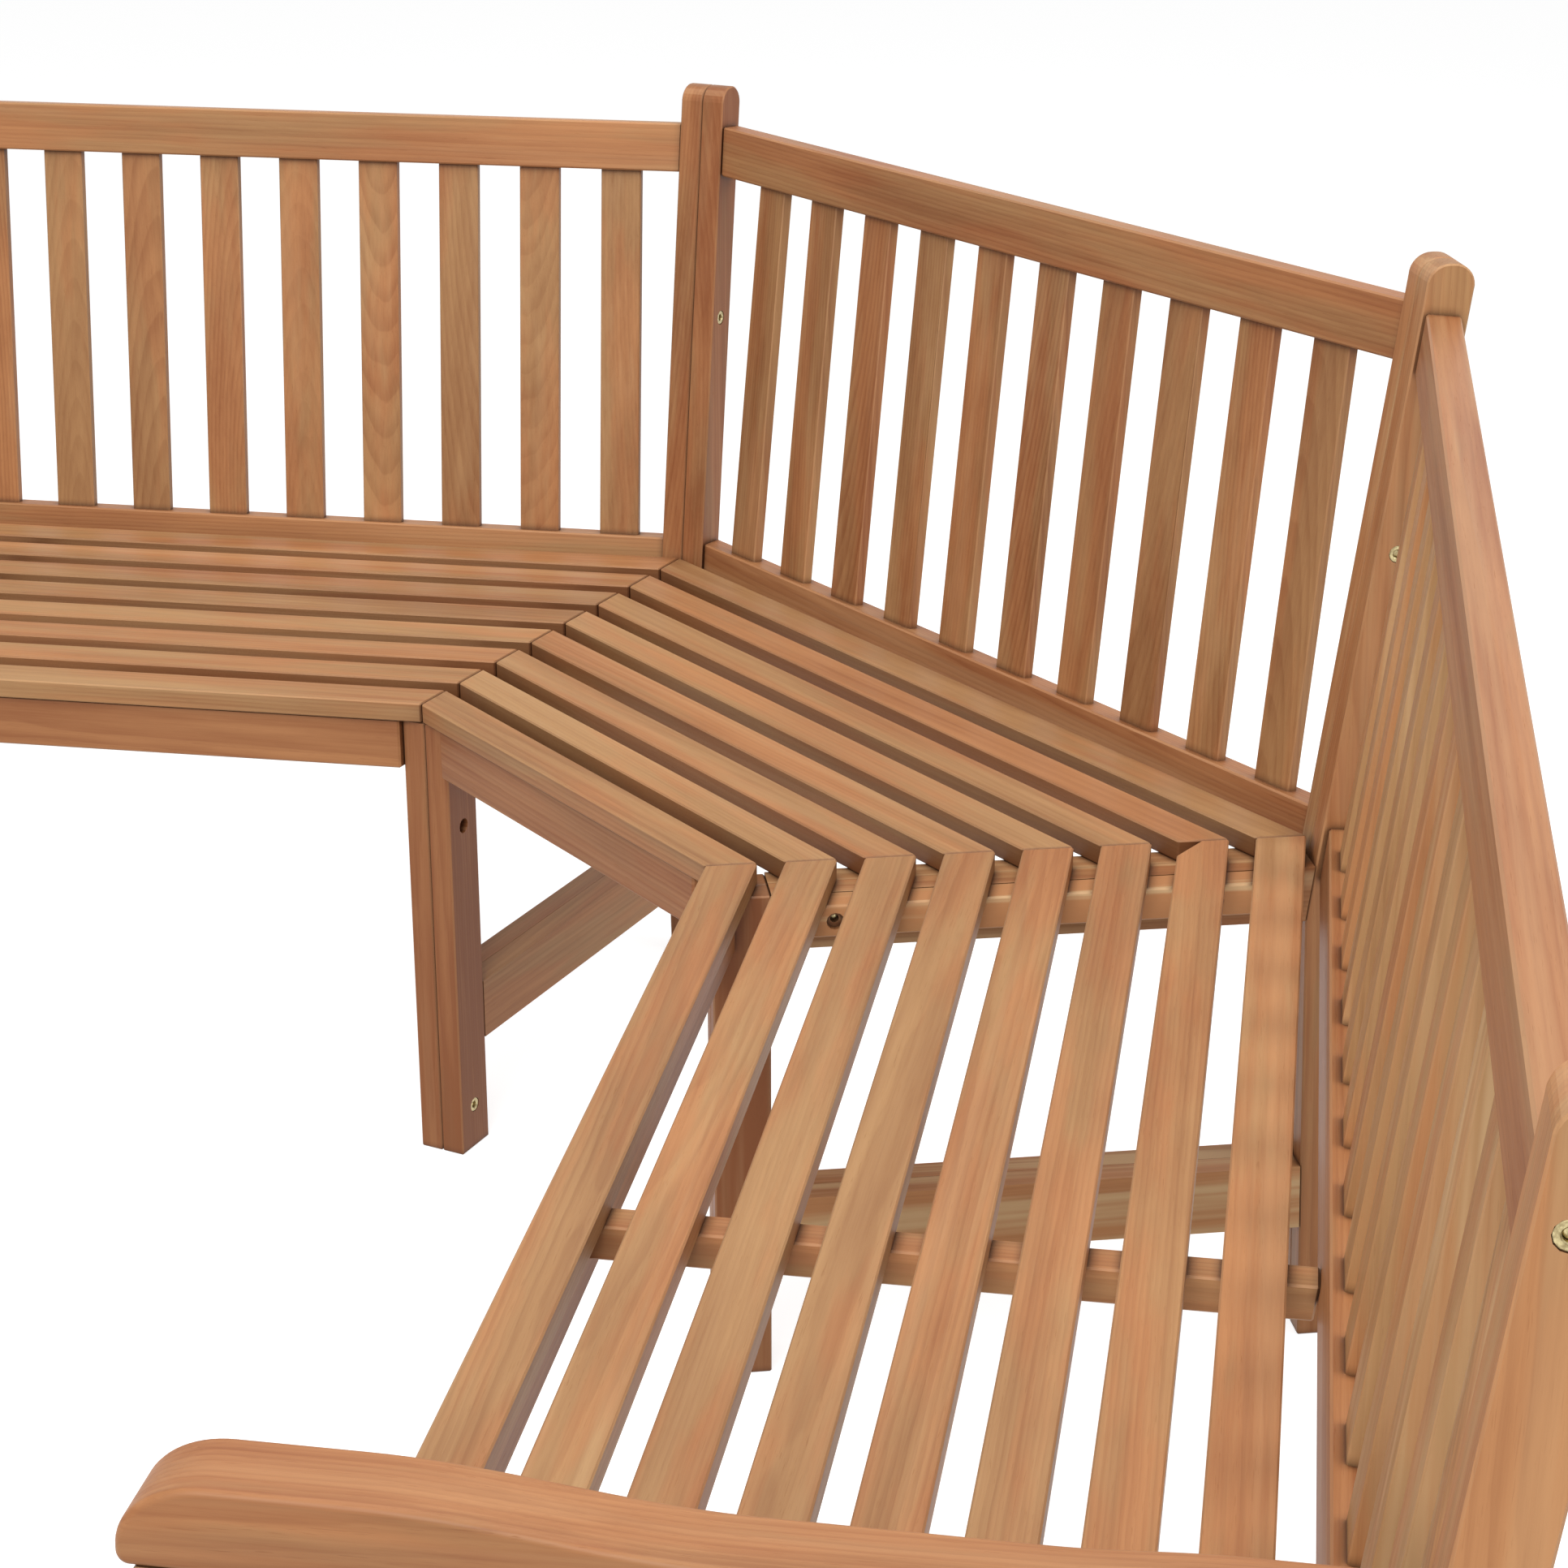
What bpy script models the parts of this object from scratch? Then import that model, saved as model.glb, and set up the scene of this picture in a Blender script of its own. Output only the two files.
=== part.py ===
"""Corner garden bench: a short middle bench and two long side benches bolted into one corner seat.

The middle section stands along X and faces -Y. Each side section turns forward from it by
BEND_ANGLE. Two flat end frames stand back to back in each junction plane. Metres, +Z up.
"""
import math

import bmesh
import bpy
from mathutils import Matrix, Vector

# Sizes shared by the whole bench
SEAT_HEIGHT = 0.440
BENCH_HEIGHT = 0.895
BEND_ANGLE = math.radians(45.0)
MITRE_ANGLE = math.radians(28.0)
MIDDLE_FRONT_LENGTH = 0.442
SIDE_FRONT_LENGTH = 1.205
CONTACT_GAP = 0.0003
CUT_OVERRUN = 0.020

# Seat slats: eight to a section, and their mitred ends meet edge to edge
SLAT_COUNT = 8
SLAT_WIDTH = 0.0355
SLAT_GAP = 0.0192
SLAT_THICKNESS = 0.0175
SLAT_MITRE_GAP = 0.0006
SLAT_ROUNDING = 0.0012

# End frames, measured along the frame from the front edge of the seat
JUNCTION_FRAME_THICKNESS = 0.0225
END_FRAME_THICKNESS = 0.040
END_RAIL_THICKNESS = 0.024
LEG_SETBACK = 0.003
LEG_DEPTH = 0.045
LEG_TOP_GAP = 0.0012
POST_DEPTH = 0.0365
POST_FOOT_SETBACK = 0.487
POST_BEND_SETBACK = 0.471
POST_TOP_SETBACK = 0.531
POST_CROWN_RADIUS = 0.0165
POST_CROWN_STEPS = 8
BEARER_HEIGHT = 0.046
STRETCHER_HEIGHT = 0.056
STRETCHER_TOP = 0.158
TENON_LENGTH = 0.018
TENON_SHOULDER = 0.006
FRAME_ROUNDING = 0.0013

# Aprons and back rails
APRON_SETBACK = 0.004
APRON_THICKNESS = 0.022
APRON_HEIGHT = 0.0455
RAIL_THICKNESS = 0.026
MIDDLE_RAIL_SETBACK = 0.004
JUNCTION_RAIL_SETBACK = 0.005
END_RAIL_SETBACK = 0.003
TOP_RAIL_HEIGHT = 0.046
TOP_RAIL_DROP = 0.036
LOWER_RAIL_HEIGHT = 0.045
LOWER_RAIL_ABOVE_SEAT = 0.0145
RAIL_ROUNDING = 0.0015

# Upright slats of the back
BACK_SLAT_WIDTH = 0.0395
BACK_SLAT_THICKNESS = 0.010
BACK_SLAT_TENON = 0.012
BACK_SLAT_ROUNDING = 0.0010

# Each back's slats: how many, then its first and last gap as shares of the gaps between them
LEFT_BACK_SLATS = (15, 0.78, 1.54)
RIGHT_BACK_SLATS = (14, 1.0, 1.0)
MIDDLE_BACK_SLATS = (10, 1.0, 1.0)

# Armrests at the free ends
ARM_ABOVE_SEAT = 0.242
ARM_THICKNESS = 0.039
ARM_FRONT = 0.004
ARM_NOSE_RADIUS = 0.028
ARM_CHIN_RADIUS = 0.006
ARM_NOSE_STEPS = 6
ARM_SCOOP_DEPTH = 0.0125
ARM_SCOOP_START = 0.090
ARM_SCOOP_FLOOR = 0.250
ARM_RISE_START = 0.360
ARM_RISE_END = 0.440
ARM_RISE_HEIGHT = 0.0035
ARM_SCOOP_STEPS = 6
ARM_ROUNDING = 0.0035

# Bolt holes, each with a recess for a cap or a nut
BOLT_BORE_RADIUS = 0.0034
BOLT_RECESS_RADIUS = 0.0069
BOLT_RECESS_DEPTH = 0.0058
BOLT_STEPS = 12

# Places worked out from the sizes above
TOP_RAIL_TOP = BENCH_HEIGHT - TOP_RAIL_DROP
LOWER_RAIL_TOP = SEAT_HEIGHT + LOWER_RAIL_ABOVE_SEAT
ARM_TOP = SEAT_HEIGHT + ARM_ABOVE_SEAT
SIDE_ANGLE = BEND_ANGLE - MITRE_ANGLE
SLAT_BOTTOM = SEAT_HEIGHT - SLAT_THICKNESS
SUPPORT_TOP = SLAT_BOTTOM - CONTACT_GAP
SLAT_PITCH = SLAT_WIDTH + SLAT_GAP
SIDE_SCALE = math.cos(SIDE_ANGLE) / math.cos(MITRE_ANGLE)
HALF_FRONT = MIDDLE_FRONT_LENGTH / 2
END_FRAME_INNER = SIDE_FRONT_LENGTH - END_FRAME_THICKNESS
BEND_HEIGHT = SUPPORT_TOP - BEARER_HEIGHT
RAKE = (POST_TOP_SETBACK - POST_BEND_SETBACK) / (BENCH_HEIGHT - BEND_HEIGHT)
FOOT_RAKE = (POST_BEND_SETBACK - POST_FOOT_SETBACK) / BEND_HEIGHT
FRONT_REACH = (SIDE_FRONT_LENGTH - ARM_ROUNDING) * math.sin(BEND_ANGLE) + ARM_FRONT * math.cos(BEND_ANGLE)
BACK_REACH = ((POST_TOP_SETBACK + POST_DEPTH) * math.cos(MITRE_ANGLE)
              + (JUNCTION_FRAME_THICKNESS - FRAME_ROUNDING) * math.sin(MITRE_ANGLE))
TEAK = (0.50, 0.27, 0.13)


def post_front(height):
    """How far behind the seat's front edge the post's front face is at a height."""
    rake = RAKE if height >= BEND_HEIGHT else FOOT_RAKE
    return POST_BEND_SETBACK + rake * (height - BEND_HEIGHT)


def slice_at_post(bm, height, rake):
    """Cut a piece of an end frame square to the post's front face."""
    point = Vector((0, post_front(height), height))
    slice_off(bm, point - Vector((0, CONTACT_GAP, 0)), Vector((0, 1, -rake)).normalized())


# The junction plane in plan: its direction and the way from it into a section
SIDE_ALONG = Vector((-math.sin(SIDE_ANGLE), math.cos(SIDE_ANGLE), 0))
SIDE_INWARD = Vector((math.cos(SIDE_ANGLE), math.sin(SIDE_ANGLE), 0))
MIDDLE_ALONG = Vector((math.sin(MITRE_ANGLE), math.cos(MITRE_ANGLE), 0))
MIDDLE_INWARD = Vector((-math.cos(MITRE_ANGLE), math.sin(MITRE_ANGLE), 0))
MIDDLE_CORNER = Vector((HALF_FRONT, 0, 0))


def clear_scene():
    """Remove every object of the open scene."""
    for thing in list(bpy.data.objects):
        bpy.data.objects.remove(thing, do_unlink=True)


def make_material(name, colour, roughness, metallic):
    """One Principled material for one piece."""
    material = bpy.data.materials.new(name)
    material.use_nodes = True
    shader = material.node_tree.nodes["Principled BSDF"]
    shader.inputs["Base Color"].default_value = (*colour, 1.0)
    shader.inputs["Roughness"].default_value = roughness
    shader.inputs["Metallic"].default_value = metallic
    material.diffuse_color = (*colour, 1.0)
    return material


def make_empty(name, place, turn, parent=None):
    """An empty that carries the pieces of one section or junction."""
    empty = bpy.data.objects.new(name, None)
    empty.parent = parent
    empty.location = place
    empty.rotation_euler = (0, 0, turn)
    bpy.context.collection.objects.link(empty)
    return empty


def add_box(bm, low, high):
    """A closed box between two corners."""
    size = Vector(high) - Vector(low)
    verts = bmesh.ops.create_cube(bm, size=1.0)["verts"]
    bmesh.ops.scale(bm, vec=size, verts=verts)
    bmesh.ops.translate(bm, vec=Vector(low) + size / 2, verts=verts)
    return verts


def add_prism(bm, outline, push):
    """A closed prism: a flat outline pushed along a vector."""
    face = bm.faces.new([bm.verts.new(point) for point in outline])
    pushed = bmesh.ops.extrude_face_region(bm, geom=[face])["geom"]
    far = [item for item in pushed if isinstance(item, bmesh.types.BMVert)]
    bmesh.ops.translate(bm, vec=push, verts=far)


def add_turned(bm, outline, centre):
    """A closed solid turned about an X axis: outline points are (radius, x)."""
    verts = [bm.verts.new(centre + Vector((x, 0, radius))) for radius, x in outline]
    edges = [bm.edges.new(pair) for pair in zip(verts, verts[1:])]
    if outline[0][0] > 0:
        edges.append(bm.edges.new((verts[-1], verts[0])))
    bmesh.ops.spin(bm, geom=verts + edges, cent=centre, axis=(1, 0, 0), angle=2 * math.pi,
                   steps=BOLT_STEPS, use_merge=True)


def slice_off(bm, point, normal):
    """Take away what lies on the normal's side of a plane and close the cut."""
    everything = bm.verts[:] + bm.edges[:] + bm.faces[:]
    result = bmesh.ops.bisect_plane(bm, geom=everything, plane_co=point, plane_no=normal,
                                    clear_outer=True)
    rim = [item for item in result["geom_cut"] if isinstance(item, bmesh.types.BMEdge)]
    bmesh.ops.holes_fill(bm, edges=rim, sides=0)


def finish(bm, name, parent, hand, rounding=0.0, cutters=(), joined=()):
    """Turn a mesh into a named piece with its own origin, material and modifiers.

    Pieces are drawn for the right-hand side; a hand of -1 makes the mirrored piece.
    """
    if hand < 0:
        bmesh.ops.scale(bm, vec=(-1, 1, 1), verts=bm.verts[:])
    bmesh.ops.remove_doubles(bm, verts=bm.verts[:], dist=CONTACT_GAP / 10)
    bmesh.ops.recalc_face_normals(bm, faces=bm.faces[:])
    low = Vector([min(vert.co[i] for vert in bm.verts) for i in range(3)])
    high = Vector([max(vert.co[i] for vert in bm.verts) for i in range(3)])
    centre = (low + high) / 2
    bmesh.ops.translate(bm, vec=-centre, verts=bm.verts[:])
    mesh = bpy.data.meshes.new(name)
    bm.to_mesh(mesh)
    bm.free()
    piece = bpy.data.objects.new(name, mesh)
    bpy.context.collection.objects.link(piece)
    piece.parent = parent
    piece.location = centre
    if rounding:
        bevel = piece.modifiers.new("rounded edges", "BEVEL")
        bevel.width = rounding
        bevel.segments = 1
        bevel.limit_method = "ANGLE"
        bevel.angle_limit = math.radians(30)
    for operation, tools in (("UNION", joined), ("DIFFERENCE", cutters)):
        for tool in tools:
            shaping = piece.modifiers.new(operation.lower() + " " + tool.name, "BOOLEAN")
            shaping.operation = operation
            shaping.solver = "EXACT"
            shaping.object = tool
    mesh.materials.append(make_material(name, TEAK, 0.6, 0.0))
    return piece


def finish_tool(bm, name, parent, hand, rounding=0.0):
    """A shape that booleans use: never rendered, shown as wire."""
    tool = finish(bm, name, parent, hand, rounding)
    tool.hide_render = True
    tool.display_type = "WIRE"
    return tool


# End frames. In a frame's own axes X is its thickness, Y runs back from the seat's front edge.
def make_leg(name, parent, hand, x_low, x_high, top, cutters):
    """Front leg: one square-cut upright."""
    bm = bmesh.new()
    add_box(bm, (x_low, LEG_SETBACK, 0), (x_high, LEG_SETBACK + LEG_DEPTH, top))
    return finish(bm, name, parent, hand, FRAME_ROUNDING, cutters)


def make_post(name, parent, hand, x_low, x_high, cutters):
    """Back post: upright below the seat, raked above it, with a crown rounded front to back."""
    front_top = post_front(BENCH_HEIGHT)
    crown = POST_CROWN_RADIUS
    low_crown = BENCH_HEIGHT - crown
    outline = [(post_front(0), 0), (POST_BEND_SETBACK, BEND_HEIGHT)]
    for step in range(POST_CROWN_STEPS + 1):
        turn = math.pi / 2 * step / POST_CROWN_STEPS
        outline.append((front_top + crown * (1 - math.cos(turn)), low_crown + crown * math.sin(turn)))
    for step in range(POST_CROWN_STEPS + 1):
        turn = math.pi / 2 * step / POST_CROWN_STEPS
        outline.append((front_top + POST_DEPTH - crown * (1 - math.sin(turn)),
                        low_crown + crown * math.cos(turn)))
    outline.append((POST_BEND_SETBACK + POST_DEPTH, BEND_HEIGHT))
    outline.append((post_front(0) + POST_DEPTH, 0))
    bm = bmesh.new()
    add_prism(bm, [(x_low, y, z) for y, z in outline], (x_high - x_low, 0, 0))
    return finish(bm, name, parent, hand, FRAME_ROUNDING, cutters)


def make_crosspiece(name, parent, hand, x_low, x_high, bottom, top, cutters=()):
    """A bar from the leg to the post with a tenon on each end."""
    bm = bmesh.new()
    start = LEG_SETBACK + LEG_DEPTH + CONTACT_GAP
    add_box(bm, (x_low, start, bottom), (x_high, POST_FOOT_SETBACK + CUT_OVERRUN, top))
    slice_at_post(bm, bottom, RAKE if bottom >= BEND_HEIGHT else FOOT_RAKE)
    bm.normal_update()
    ends = [face for face in bm.faces if abs(face.normal.y) > abs(face.normal.x) + abs(face.normal.z)]
    for face in ends:
        way = TENON_LENGTH if face.normal.y > 0 else -TENON_LENGTH
        bmesh.ops.inset_region(bm, faces=[face], thickness=TENON_SHOULDER, use_even_offset=True)
        pushed = bmesh.ops.extrude_discrete_faces(bm, faces=[face])["faces"]
        bmesh.ops.translate(bm, vec=(0, way, 0), verts=pushed[0].verts[:])
    return finish(bm, name, parent, hand, 0.0, cutters)


def make_tenon_space(name, parent, hand, x_low, x_high):
    """Room for the tenons of a frame's two crosspieces, cut from its leg and its post."""
    reach = TENON_LENGTH + CONTACT_GAP
    inset = TENON_SHOULDER - CONTACT_GAP
    bm = bmesh.new()
    for bottom, top in ((SUPPORT_TOP - BEARER_HEIGHT, SUPPORT_TOP),
                        (STRETCHER_TOP - STRETCHER_HEIGHT, STRETCHER_TOP)):
        back = max(post_front(bottom), post_front(top)) + reach
        add_box(bm, (x_low + inset, LEG_SETBACK + LEG_DEPTH - reach, bottom + inset),
                (x_high - inset, back, top - inset))
    return finish_tool(bm, name, parent, hand)


def add_bolt_hole(bm, place, x_low, x_high, through=True):
    """The tool for one bolt hole along X: a recess where it starts and, if it goes through, ends."""
    bore = BOLT_BORE_RADIUS
    recess = BOLT_RECESS_RADIUS
    floor = x_high - BOLT_RECESS_DEPTH
    outline = [(0, x_high + CUT_OVERRUN), (recess, x_high + CUT_OVERRUN), (recess, floor), (bore, floor)]
    if through:
        seat = x_low + BOLT_RECESS_DEPTH
        outline += [(bore, seat), (recess, seat), (recess, x_low - CUT_OVERRUN), (0, x_low - CUT_OVERRUN)]
    else:
        outline += [(bore, x_low), (0, x_low)]
    add_turned(bm, outline, Vector((0, *place)))


# Junctions: a side frame and a middle frame back to back, bolted through
POST_BOLT_ABOVE_SEAT = 0.235
LEG_BOLT_HEIGHTS = (0.320, 0.0425)
LEDGER_BOLT_PLACES = (0.094, 0.390)
LEDGER_WIDTH = 0.026
LEDGER_HEIGHT = 0.026
LEDGER_START = 0.058
LEDGER_END = 0.452


def make_junction(word, bench, hand):
    """Both end frames of one junction and the side section's ledger, drilled for their bolts."""
    junction = make_empty(word + "_junction", (hand * HALF_FRONT, 0, 0), -hand * MITRE_ANGLE, bench)
    seam = CONTACT_GAP / 2
    outer = JUNCTION_FRAME_THICKNESS
    ledger_outer = outer + CONTACT_GAP + LEDGER_WIDTH
    ledger_middle = SUPPORT_TOP - LEDGER_HEIGHT / 2
    post_bolt = SEAT_HEIGHT + POST_BOLT_ABOVE_SEAT
    post_middle = post_front(post_bolt) + POST_DEPTH / 2
    leg_middle = LEG_SETBACK + LEG_DEPTH / 2
    bolts = [((post_middle, post_bolt), outer)]
    bolts += [((leg_middle, height), outer) for height in LEG_BOLT_HEIGHTS]
    bolts += [((place, ledger_middle), ledger_outer) for place in LEDGER_BOLT_PLACES]

    holes = bmesh.new()
    for place, reach in bolts:
        add_bolt_hole(holes, place, -outer, reach)
    bolt_holes = finish_tool(holes, word + "_junction_bolt_holes", junction, hand)

    leg_top = SLAT_BOTTOM - LEG_TOP_GAP
    for owner, x_low, x_high in ((word + "_junction", seam, outer), ("middle_" + word, -outer, -seam)):
        space = make_tenon_space(owner + "_tenon_space", junction, hand, x_low, x_high)
        cutters = (space, bolt_holes)
        make_leg(owner + "_front_leg", junction, hand, x_low, x_high, leg_top, cutters)
        make_post(owner + "_back_post", junction, hand, x_low, x_high, cutters)
        make_crosspiece(owner + "_seat_bearer", junction, hand, x_low, x_high,
                        SUPPORT_TOP - BEARER_HEIGHT, SUPPORT_TOP, (bolt_holes,))
        make_crosspiece(owner + "_low_stretcher", junction, hand, x_low, x_high,
                        STRETCHER_TOP - STRETCHER_HEIGHT, STRETCHER_TOP)

    ledger = bmesh.new()
    add_box(ledger, (outer + CONTACT_GAP, LEDGER_START, SUPPORT_TOP - LEDGER_HEIGHT),
            (ledger_outer, LEDGER_END, SUPPORT_TOP))
    finish(ledger, word + "_seat_ledger", junction, hand, FRAME_ROUNDING, (bolt_holes,))


# Rails. Their front faces stand a little behind the front corners of the posts at their ends.
def rail_corners(height, side):
    """Where a rail's front face meets its two end frames at a height, in the section's axes."""
    back = post_front(height)
    if side:
        near = SIDE_ALONG * back + SIDE_INWARD * JUNCTION_FRAME_THICKNESS
        far = Vector((END_FRAME_INNER, back, 0))
        return near + Vector((0, JUNCTION_RAIL_SETBACK, 0)), far + Vector((0, END_RAIL_SETBACK, 0))
    corner = MIDDLE_CORNER + MIDDLE_ALONG * back + MIDDLE_INWARD * JUNCTION_FRAME_THICKNESS
    corner.y += MIDDLE_RAIL_SETBACK
    return Vector((-corner.x, corner.y, 0)), corner


def cut_to_frames(bm, side):
    """Slice a section's long piece to the faces of its end frames."""
    reach = JUNCTION_FRAME_THICKNESS + CONTACT_GAP
    if side:
        slice_off(bm, SIDE_INWARD * reach, -SIDE_INWARD)
        slice_off(bm, Vector((END_FRAME_INNER - CONTACT_GAP, 0, 0)), Vector((1, 0, 0)))
        return
    for way in (-1, 1):
        face = MIDDLE_CORNER + MIDDLE_INWARD * reach
        slice_off(bm, Vector((way * face.x, face.y, 0)), Vector((-way * MIDDLE_INWARD.x, -MIDDLE_INWARD.y, 0)))


def draw_rail(side, top, height):
    """One rail of the back, leaning with the posts."""
    middle = top - height / 2
    near, far = rail_corners(middle, side)
    near_up, _ = rail_corners(top, side)
    lean = math.atan2(near_up.y - near.y, top - middle)
    heading = math.atan2(far.y - near.y, far.x - near.x)
    length = (far - near).length
    bm = bmesh.new()
    add_box(bm, (-POST_DEPTH, 0, -height / 2), (length + POST_DEPTH, RAIL_THICKNESS, height / 2))
    place = Matrix.Translation(near + Vector((0, 0, middle)))
    turn = Matrix.Rotation(heading, 4, "Z") @ Matrix.Rotation(-lean, 4, "X")
    bmesh.ops.transform(bm, matrix=place @ turn, verts=bm.verts[:])
    cut_to_frames(bm, side)
    return bm


def draw_back_slats(side, slats):
    """The upright slats of one back, with their ends inside both rails."""
    count, first_share, last_share = slats
    bm = bmesh.new()
    low = LOWER_RAIL_TOP - BACK_SLAT_TENON
    high = TOP_RAIL_TOP - TOP_RAIL_HEIGHT + BACK_SLAT_TENON
    near, far = rail_corners((low + high) / 2, side)
    gap = (far.x - near.x - count * BACK_SLAT_WIDTH) / (count - 1 + first_share + last_share)
    first = near.x + gap * first_share + BACK_SLAT_WIDTH / 2
    low_near, low_far = rail_corners(low, side)
    high_near, high_far = rail_corners(high, side)
    for index in range(count):
        x = first + index * (gap + BACK_SLAT_WIDTH)
        foot = low_near.lerp(low_far, (x - low_near.x) / (low_far.x - low_near.x))
        head = high_near.lerp(high_far, (x - high_near.x) / (high_far.x - high_near.x))
        lean = math.atan2(head.y - foot.y, high - low)
        heading = math.atan2(low_far.y - low_near.y, low_far.x - low_near.x)
        length = math.hypot(head.y - foot.y, high - low)
        verts = add_box(bm, (-BACK_SLAT_WIDTH / 2, -BACK_SLAT_THICKNESS / 2, 0),
                        (BACK_SLAT_WIDTH / 2, BACK_SLAT_THICKNESS / 2, length))
        place = Matrix.Translation(Vector((x, foot.y + RAIL_THICKNESS / 2, low)))
        turn = Matrix.Rotation(heading, 4, "Z") @ Matrix.Rotation(-lean, 4, "X")
        bmesh.ops.transform(bm, matrix=place @ turn, verts=verts)
    return bm


def make_back(word, parent, hand, side, slats, cutters=()):
    """One back: top rail, lower rail and upright slats, tenoned and glued into one panel."""
    lower = draw_rail(side, LOWER_RAIL_TOP, LOWER_RAIL_HEIGHT)
    joined = (finish_tool(lower, word + "_lower_rail", parent, hand, RAIL_ROUNDING),
              finish_tool(draw_back_slats(side, slats), word + "_slats", parent, hand, BACK_SLAT_ROUNDING))
    upper = draw_rail(side, TOP_RAIL_TOP, TOP_RAIL_HEIGHT)
    finish(upper, word + "_back_panel", parent, hand, RAIL_ROUNDING, cutters, joined)


def make_apron(word, parent, hand, side, cutters=()):
    """The board under the front edge of the seat, standing between the two front legs."""
    length = SIDE_FRONT_LENGTH if side else HALF_FRONT
    start = 0 if side else -HALF_FRONT
    bm = bmesh.new()
    add_box(bm, (start, APRON_SETBACK, SUPPORT_TOP - APRON_HEIGHT),
            (length, APRON_SETBACK + APRON_THICKNESS, SUPPORT_TOP))
    cut_to_frames(bm, side)
    finish(bm, word + "_front_apron", parent, hand, RAIL_ROUNDING, cutters)


# Seat slats. The front one stops at the end frame's leg, the others lie over its bearer.
SLAT_END_INSET = 0.004
CLIPPED_SLAT = 6
CLIP_ALONG = 0.027
CLIP_ACROSS = 0.017


def side_slat_outline(index, clipped):
    """One slat of a side section in plan: mitred at the junction, square at the outer end."""
    front = index * SLAT_PITCH * SIDE_SCALE
    back = front + SLAT_WIDTH * SIDE_SCALE
    slope = math.tan(SIDE_ANGLE)
    start = SLAT_MITRE_GAP / math.cos(SIDE_ANGLE)
    end = SIDE_FRONT_LENGTH - SLAT_END_INSET if index else END_FRAME_INNER - CONTACT_GAP
    outline = [(end, front), (end, back), (start - back * slope, back)]
    if clipped:
        cut = front + CLIP_ACROSS
        return outline + [(start - cut * slope, cut), (start - front * slope + CLIP_ALONG, front)]
    return outline + [(start - front * slope, front)]


def middle_slat_outline(index):
    """One slat of the middle section in plan, mitred at both ends."""
    front = index * SLAT_PITCH
    back = front + SLAT_WIDTH
    slope = math.tan(MITRE_ANGLE)
    half = HALF_FRONT - SLAT_MITRE_GAP / math.cos(MITRE_ANGLE)
    return [(half + front * slope, front), (half + back * slope, back),
            (-half - back * slope, back), (-half - front * slope, front)]


def make_seat(word, parent, hand, side):
    """The eight slats of one seat, numbered from the front."""
    for index in range(SLAT_COUNT):
        if side:
            outline = side_slat_outline(index, hand > 0 and index == CLIPPED_SLAT)
        else:
            outline = middle_slat_outline(index)
        bm = bmesh.new()
        add_prism(bm, [(x, y, SLAT_BOTTOM) for x, y in outline], (0, 0, SLAT_THICKNESS))
        finish(bm, f"{word}_seat_slat_{index + 1}", parent, hand, SLAT_ROUNDING)


# Outer end frame: full-thickness leg and post with the armrest between them
END_BOLT_BITE = 0.045
END_TOP_BOLT_DROP = 0.016


def ease(share):
    """A smooth step from 0 to 1."""
    return (1 - math.cos(math.pi * share)) / 2


def arm_outline():
    """The armrest from the side: rounded nose, shallow scoop for the forearm, flat underside."""
    bottom = ARM_TOP - ARM_THICKNESS
    chin = ARM_CHIN_RADIUS
    nose = ARM_NOSE_RADIUS
    outline = []
    for step in range(ARM_NOSE_STEPS + 1):
        turn = math.pi / 2 * step / ARM_NOSE_STEPS
        outline.append((-ARM_FRONT + chin * (1 - math.sin(turn)), bottom + chin * (1 - math.cos(turn))))
    for step in range(ARM_NOSE_STEPS + 1):
        turn = math.pi / 2 * step / ARM_NOSE_STEPS
        outline.append((-ARM_FRONT + nose * (1 - math.cos(turn)), ARM_TOP - nose * (1 - math.sin(turn))))
    for step in range(ARM_SCOOP_STEPS + 1):
        share = step / ARM_SCOOP_STEPS
        y = ARM_SCOOP_START + (ARM_SCOOP_FLOOR - ARM_SCOOP_START) * share
        outline.append((y, ARM_TOP - ARM_SCOOP_DEPTH * ease(share)))
    floor = ARM_TOP - ARM_SCOOP_DEPTH
    for step in range(ARM_SCOOP_STEPS + 1):
        share = step / ARM_SCOOP_STEPS
        y = ARM_RISE_START + (ARM_RISE_END - ARM_RISE_START) * share
        outline.append((y, floor + ARM_RISE_HEIGHT * ease(share)))
    far = post_front(ARM_TOP) + POST_DEPTH
    return outline + [(far, floor + ARM_RISE_HEIGHT), (far, bottom)]


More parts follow.
